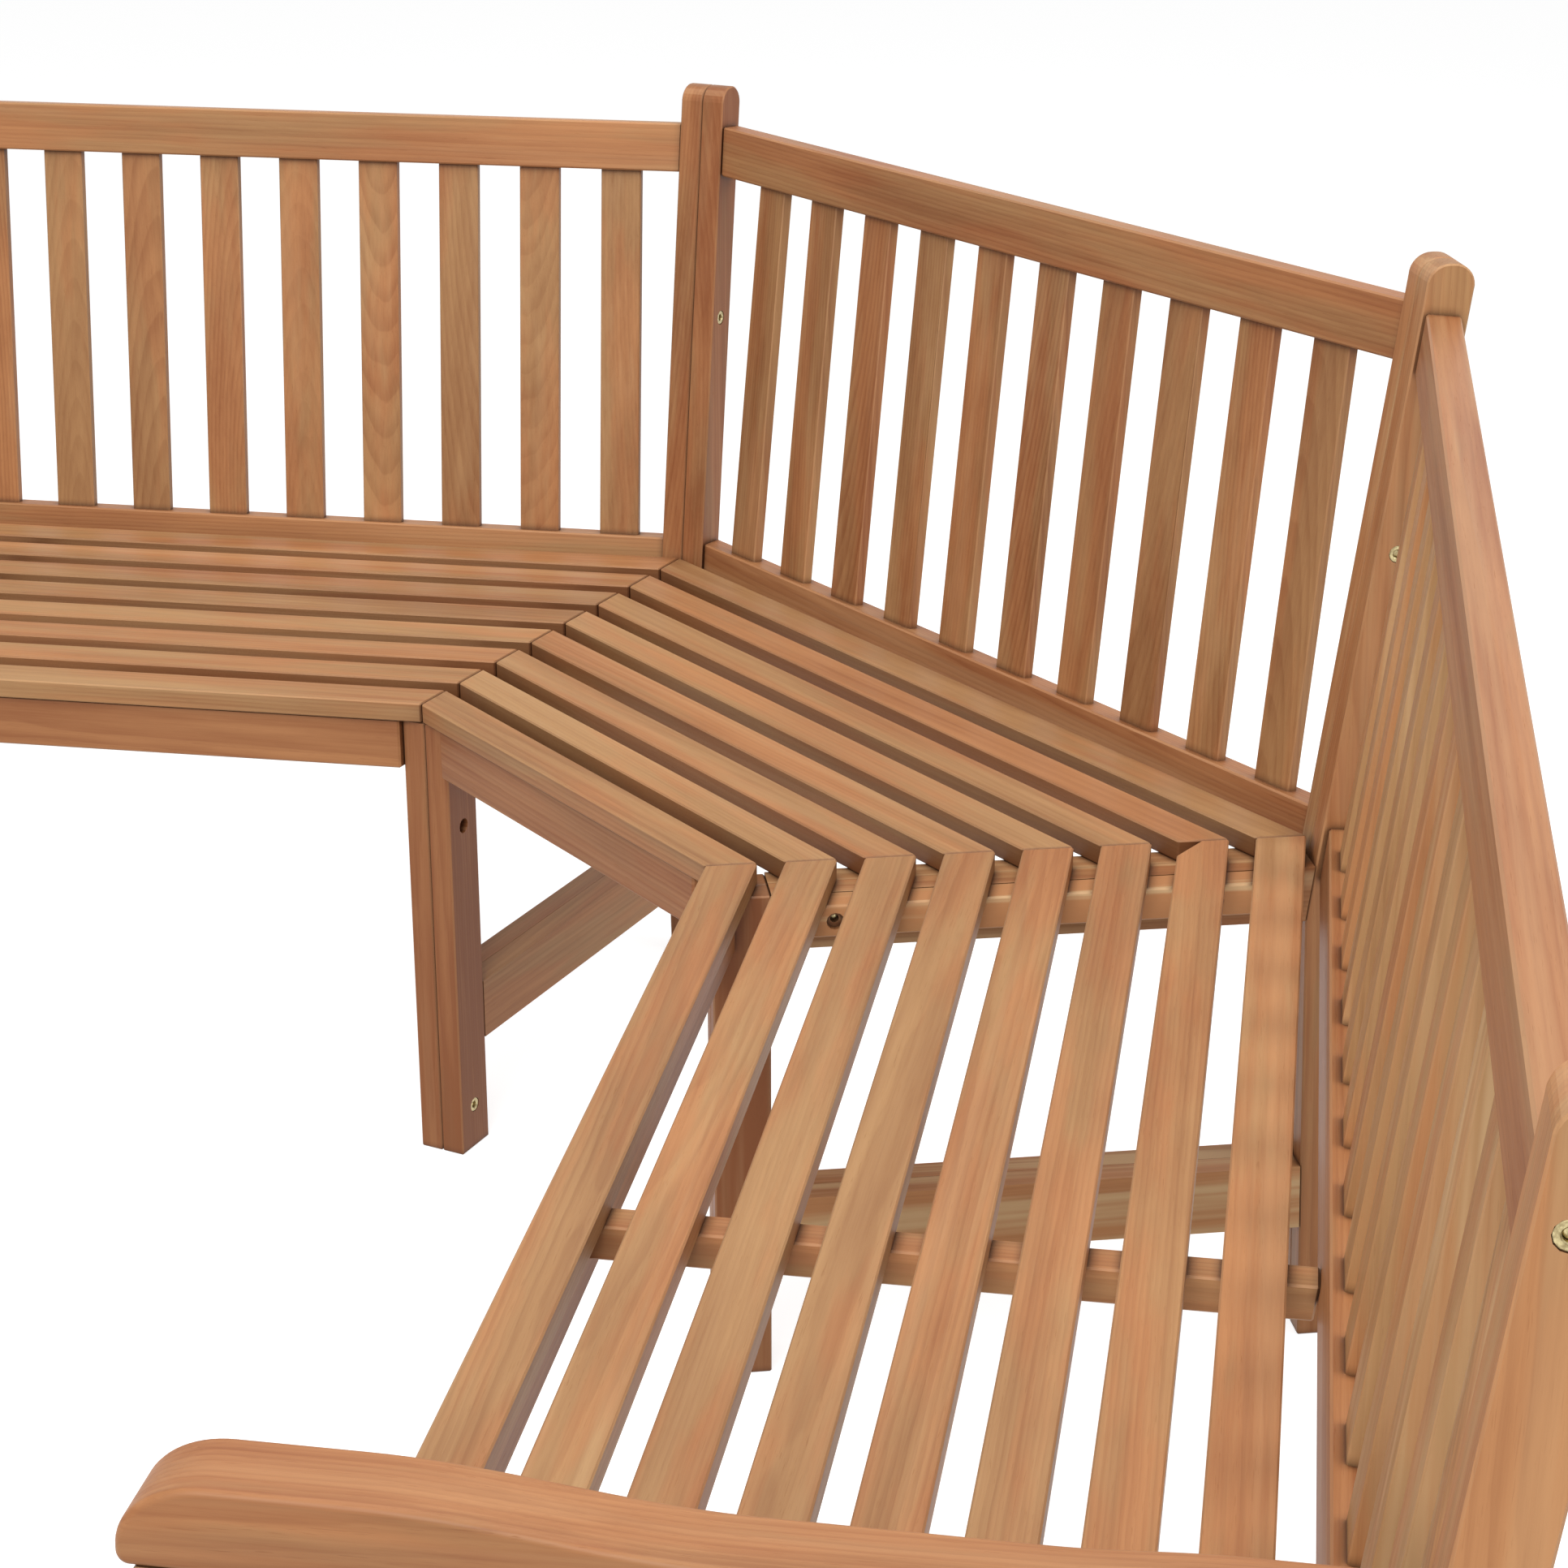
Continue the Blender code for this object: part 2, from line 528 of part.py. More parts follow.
def make_end_frame(word, section, hand):
    """Leg, post, crosspieces and armrest at the free end of a side section."""
    x_low = END_FRAME_INNER
    x_high = SIDE_FRONT_LENGTH
    middle = (x_low + x_high) / 2
    bar_low = middle - END_RAIL_THICKNESS / 2
    bar_high = middle + END_RAIL_THICKNESS / 2
    owner = word + "_end"
    top_rail = TOP_RAIL_TOP - END_TOP_BOLT_DROP
    low_rail = LOWER_RAIL_TOP - LOWER_RAIL_HEIGHT / 2
    depth = RAIL_THICKNESS / 2 + END_RAIL_SETBACK
    bolts = [(post_front(top_rail) + depth, top_rail), (post_front(low_rail) + depth, low_rail),
             (APRON_SETBACK + APRON_THICKNESS / 2, SUPPORT_TOP - APRON_HEIGHT / 2)]
    holes = bmesh.new()
    for place in bolts:
        add_bolt_hole(holes, place, x_low - END_BOLT_BITE, x_high, through=False)
    bolt_holes = finish_tool(holes, owner + "_bolt_holes", section, hand)

    space = make_tenon_space(owner + "_tenon_space", section, hand, bar_low, bar_high)
    cutters = (space, bolt_holes)
    arm_bottom = ARM_TOP - ARM_THICKNESS
    make_leg(owner + "_front_leg", section, hand, x_low, x_high, arm_bottom - CONTACT_GAP, cutters)
    make_post(owner + "_back_post", section, hand, x_low, x_high, cutters)
    make_crosspiece(owner + "_seat_bearer", section, hand, bar_low, bar_high,
                    SUPPORT_TOP - BEARER_HEIGHT, SUPPORT_TOP)
    make_crosspiece(owner + "_low_stretcher", section, hand, bar_low, bar_high,
                    STRETCHER_TOP - STRETCHER_HEIGHT, STRETCHER_TOP)

    arm = bmesh.new()
    add_prism(arm, [(x_low, y, z) for y, z in arm_outline()], (END_FRAME_THICKNESS, 0, 0))
    slice_at_post(arm, ARM_TOP, RAKE)
    finish(arm, word + "_armrest", section, hand, ARM_ROUNDING)
    return bolt_holes


# Support under the middle of the long slats
MID_SUPPORT_PLACE = 0.515
MID_SUPPORT_WIDTH = 0.025
MID_SUPPORT_HEIGHT = 0.024


def make_mid_support(word, section, hand):
    """A bar across the side section from the apron to the lower back rail."""
    x_low = MID_SUPPORT_PLACE - MID_SUPPORT_WIDTH / 2
    bm = bmesh.new()
    add_box(bm, (x_low, APRON_SETBACK + APRON_THICKNESS + CONTACT_GAP, SUPPORT_TOP - MID_SUPPORT_HEIGHT),
            (x_low + MID_SUPPORT_WIDTH, POST_BEND_SETBACK + POST_DEPTH, SUPPORT_TOP))
    middle = LOWER_RAIL_TOP - LOWER_RAIL_HEIGHT / 2
    near, far = rail_corners(middle, True)
    near_up, _ = rail_corners(LOWER_RAIL_TOP, True)
    along = (far - near).normalized()
    lean = math.atan2(near_up.y - near.y, LOWER_RAIL_TOP - middle)
    normal = Matrix.Rotation(-lean, 3, along) @ Vector((-along.y, along.x, 0))
    slice_off(bm, near + Vector((0, 0, middle)) - normal * CONTACT_GAP, normal)
    finish(bm, word + "_mid_support", section, hand, FRAME_ROUNDING)


def make_side_section(word, bench, hand, slats):
    """One long side bench without its junction frame."""
    section = make_empty(word + "_section", (hand * HALF_FRONT, 0, 0), -hand * BEND_ANGLE, bench)
    end_space = make_end_frame(word, section, hand)
    make_back(word, section, hand, True, slats, (end_space,))
    make_apron(word, section, hand, True, (end_space,))
    make_seat(word, section, hand, True)
    make_mid_support(word, section, hand)


def make_middle_section(bench):
    """The short bench between the junctions without its end frames."""
    section = make_empty("middle_section", (0, 0, 0), 0, bench)
    make_back("middle", section, 1, False, MIDDLE_BACK_SLATS)
    make_apron("middle", section, 1, False)
    make_seat("middle", section, 1, False)


clear_scene()
whole_bench = make_empty("bench", (0, (FRONT_REACH - BACK_REACH) / 2, 0), 0)
make_middle_section(whole_bench)
for side_word, side_hand, side_slats in (("left", -1, LEFT_BACK_SLATS), ("right", 1, RIGHT_BACK_SLATS)):
    make_side_section(side_word, whole_bench, side_hand, side_slats)
    make_junction(side_word, whole_bench, side_hand)
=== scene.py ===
"""Looks of the corner garden bench: oiled hardwood boards, yellow zinc bolt ends, white studio.

Metres, +Z up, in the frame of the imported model. The middle section stands along X and faces -Y,
and each side section turns forward from it by 45 degrees.
"""
import math
import random

import bmesh
import bpy
from mathutils import Euler, Matrix, Vector


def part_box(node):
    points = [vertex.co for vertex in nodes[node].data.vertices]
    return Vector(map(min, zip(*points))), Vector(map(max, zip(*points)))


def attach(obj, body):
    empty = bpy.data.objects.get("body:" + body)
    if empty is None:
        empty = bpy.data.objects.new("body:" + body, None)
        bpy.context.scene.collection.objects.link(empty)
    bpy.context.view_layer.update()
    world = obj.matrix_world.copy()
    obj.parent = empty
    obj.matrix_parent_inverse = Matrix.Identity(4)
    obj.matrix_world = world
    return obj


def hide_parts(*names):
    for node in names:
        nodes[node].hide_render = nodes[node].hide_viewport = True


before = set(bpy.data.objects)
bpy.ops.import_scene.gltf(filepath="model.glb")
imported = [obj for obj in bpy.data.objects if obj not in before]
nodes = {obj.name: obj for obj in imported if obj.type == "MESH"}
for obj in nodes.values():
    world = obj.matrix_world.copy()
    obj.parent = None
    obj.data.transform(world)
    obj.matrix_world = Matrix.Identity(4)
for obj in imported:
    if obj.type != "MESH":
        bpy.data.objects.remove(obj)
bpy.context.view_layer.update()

# Junction frames. Where two sections meet, two flat hardwood frames stand back to back: a leg and
# a post each, tenoned to a seat bearer and a low stretcher, oiled, and bolted through.
TEAK_PALE = (0.464, 0.240, 0.104)
TEAK_DARK = (0.242, 0.092, 0.033)
SAPWOOD = (0.620, 0.400, 0.205)
END_GRAIN = (0.225, 0.092, 0.033)
GOLDEN = (0.98, 1.04, 1.02)
REDDISH = (1.07, 0.94, 0.86)
# GAP_SHADE is painted shade for the narrow faces in the gaps between seat slats, and JOINT_SHADE painted
# shade along the lines where boards meet.
GAP_SHADE = (0.100, 0.030, 0.009)
PALE_EDGE = (0.570, 0.330, 0.170)
JOINT_SHADE = (0.060, 0.020, 0.008)
TEAK_ROUGHNESS = 0.44
PORES_ROUGHEN = 0.10
TEAK_GLOSS = 0.31
GRAIN_RELIEF = 0.00018
RELIEF_STRENGTH = 0.5
JOINT_REACH = 0.0075
JOINT_DARKENS = 0.85
GAP_REACH = 0.035
END_DARKENS = 0.50
SHADE_RAYS = 4
TONE_SPREAD = 0.14
HEART_NEAR = 0.030
HEART_FAR = 0.085
HEART_TILT = math.radians(1.5)
JUNCTION_TURN = math.radians(62)
LEVEL = 0.0
UPRIGHT = -math.pi / 2
SIDE_WORDS = (("left", -1), ("right", 1))


class Shading:
    """A shader node tree that is being built, with short ways to add nodes to it."""

    def __init__(self, tree):
        self.tree = tree

    def feed(self, socket, value):
        """Give a socket another socket's output, a colour or a plain value."""
        if isinstance(value, bpy.types.NodeSocket):
            self.tree.links.new(value, socket)
        elif socket.type == "RGBA":
            socket.default_value = (*value, 1.0)
        else:
            socket.default_value = value

    def feed_named(self, node, fed):
        """Feed some of a node's inputs, given as {name: value}; gives all its outputs."""
        for name, value in fed.items():
            self.feed(node.inputs[name], value)
        return node.outputs

    def new_node(self, kind, **settings):
        """An unfed node of a kind with its settings."""
        node = self.tree.nodes.new("ShaderNode" + kind)
        for name, setting in settings.items():
            setattr(node, name, setting)
        return node

    def add_named(self, kind, fed, **settings):
        """A node with its settings and some inputs fed by name; gives all its outputs."""
        return self.feed_named(self.new_node(kind, **settings), fed)

    def add(self, kind, *values, **settings):
        """A node with its settings, its enabled inputs fed in order; gives its one output."""
        node = self.new_node(kind, **settings)
        for socket, value in zip([each for each in node.inputs if each.enabled], values):
            self.feed(socket, value)
        return next(each for each in node.outputs if each.enabled)

    def math(self, operation, *values):
        """One sum."""
        return self.add("Math", *values, operation=operation)

    def mix(self, share, first, second, **settings):
        """Two colours mixed by a share from 0 to 1."""
        return self.add("Mix", share, first, second, data_type="RGBA", clamp_factor=True, **settings)

    def stretched_noise(self, vector, stretch, detail, roughness=0.5):
        """A noise from 0 to 1 with its own scale along each axis."""
        scaled = self.add("VectorMath", vector, stretch, operation="MULTIPLY")
        return self.add("TexNoise", scaled, 1.0, detail, roughness)

    def ramp(self, value, low, high, new_low=0.0, new_high=1.0):
        """A value carried smoothly from one span to another."""
        return self.add("MapRange", value, low, high, new_low, new_high,
                        interpolation_type="SMOOTHSTEP")


def new_group(name, inputs, outputs):
    """A shader node group with named sockets, each given as (name, kind)."""
    tree = bpy.data.node_groups.new(name, "ShaderNodeTree")
    for socket, kind in inputs:
        tree.interface.new_socket(socket, in_out="INPUT", socket_type="NodeSocket" + kind)
    for socket, kind in outputs:
        tree.interface.new_socket(socket, in_out="OUTPUT", socket_type="NodeSocket" + kind)
    given = tree.nodes.new("NodeGroupInput").outputs
    result = tree.nodes.new("NodeGroupOutput").inputs
    return Shading(tree), given, result


# Sawn teak: growth rings round the heart of the log, which is the X axis of the group's vector.
# Each SCALE is a noise's scale along X, Y and Z, and each DARKEN is how much a mark darkens the wood.
LOG_STEP = 7.3
RING_SPACING = 0.0038
RING_WANDER = 0.0080
RING_SHIVER = RING_SPACING * 0.7
YEARS_PER_RING = 0.37
WANDER_SCALE = (1.3, 7.0, 7.0)
SHIVER_SCALE = (12.0, 55.0, 55.0)
CLOUD_SCALE = (2.6, 22.0, 22.0)
STREAK_SCALE = (2.0, 130.0, 130.0)
FIBRE_SCALE = (18.0, 620.0, 620.0)
LINE_SCALE = (3.0, 300.0, 300.0)
PORE_SCALE = (60.0, 1700.0, 1700.0)
PATCH_SCALE = (3.2, 26.0, 26.0)
SAP_SCALE = (0.9, 48.0, 48.0)
BASE_DARKNESS = -0.06
YEARS_DARKEN = 0.18
LATE_WOOD_DARKENS = 0.17
CLOUDS_DARKEN = 0.37
STREAKS_DARKEN = 0.19
LINES_DARKEN = 0.10
FIBRES_DARKEN = 0.32
PORES_DARKEN = 0.20
PATCH_WARMTH = 0.7
FIBRE_HEIGHT = 0.5
PORE_HEIGHT = -0.6
LATE_WOOD_HEIGHT = 0.35

grain, given, result = new_group(
    "Sawn teak",
    (("Log place", "Vector"), ("Seed", "Float"), ("Tone", "Float"), ("Warmth", "Float"),
     ("Figure", "Float"), ("Sap", "Float")),
    (("Color", "Color"), ("Roughness", "Float"), ("Height", "Float")))
log_step = grain.add("CombineXYZ", grain.math("MULTIPLY", given["Seed"], LOG_STEP), 0.0, 0.0)
place = grain.add("VectorMath", given["Log place"], log_step, operation="ADD")

wander = grain.stretched_noise(place, WANDER_SCALE, 2.0)
shiver = grain.stretched_noise(place, SHIVER_SCALE, 2.0)
across = grain.add("VectorMath", place, (0.0, 1.0, 1.0), operation="MULTIPLY")
from_heart = grain.add_named("VectorMath", {"Vector": across}, operation="LENGTH")["Value"]
ring_place = grain.math("MULTIPLY_ADD", wander, RING_WANDER, from_heart)
ring_place = grain.math("MULTIPLY_ADD", shiver, RING_SHIVER, ring_place)
ring = grain.math("DIVIDE", ring_place, RING_SPACING)
share = grain.math("FRACT", ring)
late_wood = grain.math("MULTIPLY", grain.ramp(share, 0.25, 0.90), grain.ramp(share, 0.90, 1.0, 1.0, 0.0))
years = grain.add("TexNoise", grain.math("MULTIPLY", ring, YEARS_PER_RING), 1.0, 2.0, 0.6,
                  noise_dimensions="1D")

clouds = grain.stretched_noise(place, CLOUD_SCALE, 3.0, 0.55)
streaks = grain.stretched_noise(place, STREAK_SCALE, 4.0, 0.62)
fibres = grain.stretched_noise(place, FIBRE_SCALE, 3.0, 0.6)
lines = grain.ramp(grain.stretched_noise(place, LINE_SCALE, 3.0, 0.7), 0.52, 0.70)
pores = grain.ramp(grain.stretched_noise(place, PORE_SCALE, 1.0), 0.62, 0.72)
pores = grain.math("MULTIPLY", pores, grain.ramp(share, 0.55, 0.05, 0.3, 1.0))

dark = BASE_DARKNESS
for mark, strength in ((grain.ramp(years, 0.20, 0.80), YEARS_DARKEN),
                       (grain.math("MULTIPLY", late_wood, given["Figure"]), LATE_WOOD_DARKENS),
                       (grain.ramp(clouds, 0.32, 0.68), CLOUDS_DARKEN),
                       (grain.ramp(streaks, 0.30, 0.70), STREAKS_DARKEN),
                       (lines, LINES_DARKEN),
                       (grain.math("SUBTRACT", fibres, 0.5), FIBRES_DARKEN),
                       (pores, PORES_DARKEN)):
    dark = grain.math("MULTIPLY_ADD", mark, strength, dark)
colour = grain.mix(grain.math("SUBTRACT", dark, given["Tone"]), TEAK_PALE, TEAK_DARK)

patches = grain.ramp(grain.stretched_noise(place, PATCH_SCALE, 3.0, 0.6), 0.34, 0.66,
                     -PATCH_WARMTH, PATCH_WARMTH)
golden = grain.mix(1.0, colour, GOLDEN, blend_type="MULTIPLY")
reddish = grain.mix(1.0, colour, REDDISH, blend_type="MULTIPLY")
warm = grain.mix(grain.math("ADD", given["Warmth"], patches), golden, reddish)
sap = grain.ramp(grain.stretched_noise(place, SAP_SCALE, 3.0, 0.6), 0.46, 0.66)
sap = grain.math("MULTIPLY", sap, given["Sap"])
grain.feed(result["Color"], grain.mix(sap, warm, SAPWOOD))

open_grain = grain.math("ADD", pores, streaks)
grain.feed(result["Roughness"], grain.math("MULTIPLY_ADD", open_grain, PORES_ROUGHEN, TEAK_ROUGHNESS))
relief = grain.math("MULTIPLY_ADD", fibres, FIBRE_HEIGHT, grain.math("MULTIPLY", pores, PORE_HEIGHT))
grain.feed(result["Height"], grain.math("MULTIPLY_ADD", late_wood, LATE_WOOD_HEIGHT, relief))

# Places on a board: its sawn ends, its eased edges, and the painted shade along the lines where
# boards meet, where little open space lies round them. The normal is given in the board's own
# axes, with X along its length.
places, given, result = new_group(
    "Board places", (("Board normal", "Vector"), ("Reach", "Float")),
    (("End", "Float"), ("Edge", "Float"), ("Joint", "Float")))
facing = places.add("VectorMath", given["Board normal"], operation="ABSOLUTE")
parts = places.add_named("SeparateXYZ", {"Vector": facing})
flattest = places.math("MAXIMUM", parts["Y"], parts["Z"])
flattest = places.math("MAXIMUM", parts["X"], flattest)
openness = places.add_named("AmbientOcclusion", {"Distance": given["Reach"]}, samples=SHADE_RAYS)["AO"]
places.feed(result["End"], places.ramp(parts["X"], 0.80, 0.97))
places.feed(result["Edge"], places.ramp(flattest, 0.86, 0.76))
places.feed(result["Joint"], places.ramp(openness, 0.90, 0.50))


def new_material(name):
    """A material of nodes, with its shading and its shader."""
    material = bpy.data.materials.new(name)
    material.use_nodes = True
    return material, Shading(material.node_tree), material.node_tree.nodes["Principled BSDF"]


def teak(name, centre, pitch, turn, figure=1.0, tone=0.0, red=0.0, sap=0.12, edge=0.22, gap=0.0):
    """The wood of one board. Pitch and turn point the log's X axis along the board's length.

    Each board has its own place in its log, so that no two show the same grain. Tone makes it
    paler, red makes it redder, and sap gives it more of the yellow streaks of the outer wood.
    gap paints shade on the narrow faces between boards that lie close together, darker
    where little open space lies round them.
    """
    chance = random.Random(name)
    heart = chance.uniform(HEART_NEAR, HEART_FAR)
    side = chance.uniform(0, 2 * math.pi)
    lean = Euler((0, chance.uniform(-HEART_TILT, HEART_TILT), chance.uniform(-HEART_TILT, HEART_TILT)))
    board = Euler((0, pitch, turn)).to_matrix()
    offset = Vector((0, heart * math.sin(side), heart * math.cos(side)))

    material, shading, shader = new_material("teak_" + name)
    spot = shading.add_named("TexCoord", {})["Object"]
    normal = shading.add_named("NewGeometry", {})["True Normal"]
    in_log = {"Vector": spot, "Location": Vector(centre) + board @ offset,
              "Rotation": (board @ lean.to_matrix()).to_euler()}
    on_board = {"Vector": normal, "Rotation": board.to_euler()}
    log_place = shading.add_named("Mapping", in_log, vector_type="TEXTURE")["Vector"]
    board_normal = shading.add_named("Mapping", on_board, vector_type="TEXTURE")["Vector"]

    cut = {"Log place": log_place,
           "Seed": chance.uniform(0, 9),
           "Tone": tone + chance.uniform(-TONE_SPREAD, TONE_SPREAD),
           "Warmth": red + chance.uniform(0.0, 1.0),
           "Sap": sap * chance.uniform(0.2, 1.8),
           "Figure": figure * chance.uniform(0.5, 1.3)}
    wood = shading.add_named("Group", cut, node_tree=grain.tree)
    spots = shading.add_named("Group", {"Board normal": board_normal, "Reach": JOINT_REACH},
                              node_tree=places.tree)

    colour = shading.mix(shading.math("MULTIPLY", spots["End"], END_DARKENS), wood["Color"], END_GRAIN)
    colour = shading.mix(shading.math("MULTIPLY", spots["Edge"], edge), colour, PALE_EDGE)
    # Painted shade where boards meet: darker where little open space lies round the surface.
    colour = shading.mix(shading.math("MULTIPLY", spots["Joint"], JOINT_DARKENS), colour, JOINT_SHADE)
    # Painted shade: the narrow faces in the gaps between slats darken where the ambient occlusion finds
    # little open space.
    if gap:
        openness = shading.add_named("AmbientOcclusion", {"Distance": GAP_REACH}, samples=SHADE_RAYS)
        shut = shading.ramp(openness["AO"], 0.88, 0.66)
        colour = shading.mix(shading.math("MULTIPLY", shut, gap), colour, GAP_SHADE)
    bump = shading.add_named("Bump", {"Strength": RELIEF_STRENGTH, "Distance": GRAIN_RELIEF,
                                      "Height": wood["Height"]})
    shading.feed_named(shader, {"Base Color": colour, "Roughness": wood["Roughness"],
                                "Normal": bump["Normal"], "Specular IOR Level": TEAK_GLOSS})
    return material


def middle_of(name):
    """The middle of a node's box."""
    low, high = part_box(name)
    return (Vector(low) + Vector(high)) / 2


def clad(name, pitch, turn, **finish):
    """Give a carried-over board its own wood."""
    nodes[name].material_slots[0].material = teak(name, middle_of(name), pitch, turn, **finish)


for word, hand in SIDE_WORDS:
    turn = JUNCTION_TURN if hand > 0 else math.pi - JUNCTION_TURN
    for owner in (word + "_junction", "middle_" + word):
        # Painted shade: the front legs under the seat are darker and redder, and the back posts at the
        # left junction darker, standing in for the shade that falls on them.
        clad(owner + "_front_leg", UPRIGHT, turn, tone=-0.50, red=0.9)
        clad(owner + "_back_post", UPRIGHT, turn, tone=-0.10 - 0.19 * (1 - hand), red=0.5, sap=0.25)
        clad(owner + "_seat_bearer", LEVEL, turn, sap=0.5)
        clad(owner + "_low_stretcher", LEVEL, turn, tone=0.05 + 0.20 * (1 + hand), red=0.3,
             sap=0.5 + 0.5 * hand)

# Outer end frames. A thick leg and a thick post stand at each free end, of the same oiled wood,
# with two thinner bars tenoned between them.
SECTION_TURN = math.radians(45)
for word, hand in SIDE_WORDS:
    turn = hand * SECTION_TURN
    clad(word + "_end_front_leg", UPRIGHT, turn, tone=0.10)
    clad(word + "_end_back_post", UPRIGHT, turn, tone=0.12, red=0.2)
    clad(word + "_end_seat_bearer", LEVEL, turn, tone=0.15, sap=0.4)
    clad(word + "_end_low_stretcher", LEVEL, turn)

# Armrests. Each is one thick board, sawn to a scoop with a rounded nose, sanded soft along its
# edges, dowelled on the front leg and housed against the post.
BENCH_SHIFT = 0.17070
HALF_FRONT = 0.221
SIDE_FRONT = 1.205
ARM_WIDTH = 0.040
ARM_TOP = 0.682
ARM_BOTTOM = 0.643
ARM_FRONT = -0.004
ARM_NOSE_LENGTH = 0.040
ARM_NOSE_DROP = 0.031
ARM_CHIN = 0.006
SCOOP_START = 0.090
SCOOP_END = 0.250
SCOOP_DEPTH = 0.0125
RISE_START = 0.360
RISE_END = 0.440
RISE_HEIGHT = 0.0035
ARM_STEPS = 18
ARM_SOFTNESS = 0.0035
ARM_SOFT_STEPS = 4
SHARP_ANGLE = math.radians(30)
POST_BEND_BACK = 0.471
POST_BEND_HEIGHT = 0.3762
POST_RAKE = 0.11565
CONTACT_GAP = 0.0003


def in_section(along, back, height, hand):
    """A point of a side section: along its seat, back from its front edge, and up."""
    corner = math.sqrt(0.5)
    return Vector((hand * (HALF_FRONT + (along + back) * corner),
                   (back - along) * corner + BENCH_SHIFT, height))


def cut_away(bm, point, normal):
    """Remove what lies on the normal's side of a plane and close the cut."""
    geometry = bm.verts[:] + bm.edges[:] + bm.faces[:]
    cut = bmesh.ops.bisect_plane(bm, geom=geometry, plane_co=point, plane_no=normal, clear_outer=True)
    rim = [item for item in cut["geom_cut"] if isinstance(item, bmesh.types.BMEdge)]
    bmesh.ops.holes_fill(bm, edges=rim, sides=0)


def arm_profile():
    """The armrest from the side: (back, height) points round it."""
    shares = [step / ARM_STEPS for step in range(ARM_STEPS + 1)]
    turns = [math.pi / 2 * share for share in shares]
    eases = [(share, (1 - math.cos(math.pi * share)) / 2) for share in shares]
    chin = [(ARM_FRONT + ARM_CHIN * (1 - math.sin(turn)), ARM_BOTTOM + ARM_CHIN * (1 - math.cos(turn)))
            for turn in turns]
    nose = [(ARM_FRONT + ARM_NOSE_LENGTH * (1 - math.cos(turn)),
             ARM_TOP - ARM_NOSE_DROP * (1 - math.sin(turn))) for turn in turns]
    scoop = [(SCOOP_START + (SCOOP_END - SCOOP_START) * share, ARM_TOP - SCOOP_DEPTH * eased)
             for share, eased in eases]
    low = ARM_TOP - SCOOP_DEPTH
    rise = [(RISE_START + (RISE_END - RISE_START) * share, low + RISE_HEIGHT * eased)
            for share, eased in eases]
    far = POST_BEND_BACK + ARM_WIDTH * 2
    return chin + nose + scoop + rise + [(far, low + RISE_HEIGHT), (far, ARM_BOTTOM)]


def add_to_scene(name, data):
    """A new object in the scene."""
    piece = bpy.data.objects.new(name, data)
    bpy.context.collection.objects.link(piece)
    return piece


def make_piece(name, bm, material):
    """A new piece of one material from mesh code, which it uses up."""
    mesh = bpy.data.meshes.new(name)
    bm.to_mesh(mesh)
    bm.free()
    mesh.materials.append(material)
    return add_to_scene(name, mesh)


def ease_edges(piece, width, steps):
    """Round a piece's sharp edges."""
    rounding = piece.modifiers.new("eased edges", "BEVEL")
    rounding.width = width
    rounding.segments = steps
    rounding.limit_method = "ANGLE"
    rounding.angle_limit = SHARP_ANGLE
    return rounding


for word, hand in SIDE_WORDS:
    arm = bmesh.new()
    side_face = arm.faces.new([arm.verts.new((SIDE_FRONT, back, height))
                               for back, height in arm_profile()])
    pushed = bmesh.ops.extrude_face_region(arm, geom=[side_face])["geom"]
    pushed = [item for item in pushed if isinstance(item, bmesh.types.BMVert)]
    bmesh.ops.translate(arm, vec=(-ARM_WIDTH, 0, 0), verts=pushed)
    post_face = POST_BEND_BACK + POST_RAKE * (ARM_TOP - POST_BEND_HEIGHT) - CONTACT_GAP
    cut_away(arm, Vector((0, post_face, ARM_TOP)), Vector((0, 1, -POST_RAKE)).normalized())
    for vert in arm.verts:
        vert.co = in_section(*vert.co, hand)
    bmesh.ops.remove_doubles(arm, verts=arm.verts[:], dist=CONTACT_GAP / 10)
    bmesh.ops.recalc_face_normals(arm, faces=arm.faces[:])
    wood = teak(word + "_arm", middle_of(word + "_armrest"), LEVEL, hand * SECTION_TURN,
                figure=0.8, tone=-0.20, red=0.2, edge=0.0)
    piece = make_piece(word + "_arm", arm, wood)
    for face in piece.data.polygons:
        face.use_smooth = True
    ease_edges(piece, ARM_SOFTNESS, ARM_SOFT_STEPS).harden_normals = True
    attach(piece, "root")
    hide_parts(word + "_armrest")

# Aprons, ledgers and supports. Plain planed bars under the seat: an apron behind the front slat,
# a ledger screwed along each junction frame, and a support under the middle of the long slats.
for word, hand in SIDE_WORDS:
    turn = JUNCTION_TURN if hand > 0 else math.pi - JUNCTION_TURN
    # Painted light and shade: the aprons under the seat are darker and redder, standing in for the shade
    # on them, and the ledgers paler and yellower, standing in for the light on their tops.
    clad(word + "_front_apron", LEVEL, -hand * SECTION_TURN, tone=-0.28, red=1.0)
    clad(word + "_mid_support", LEVEL, hand * SECTION_TURN, tone=0.05)
    clad(word + "_seat_ledger", LEVEL, turn, tone=0.90, sap=2.0)
# Painted shade: the middle apron is darker and redder, standing in for the shade under the seat.
clad("middle_front_apron", LEVEL, 0, tone=-0.46, red=1.2)

# Seat slats. Eight flat planed slats to a section, mitred edge to edge at the junctions and
# screwed down from below.
SLAT_COUNT = 8
# Painted shade in the gaps between slats: strong on the left and middle sections, weaker on the right.
for word, turn, gap in (("left", SECTION_TURN, 0.75), ("middle", 0, 0.75), ("right", -SECTION_TURN, 0.25)):
    for number in range(1, SLAT_COUNT + 1):
        clad(f"{word}_seat_slat_{number}", LEVEL, turn, tone=0.06, gap=gap)

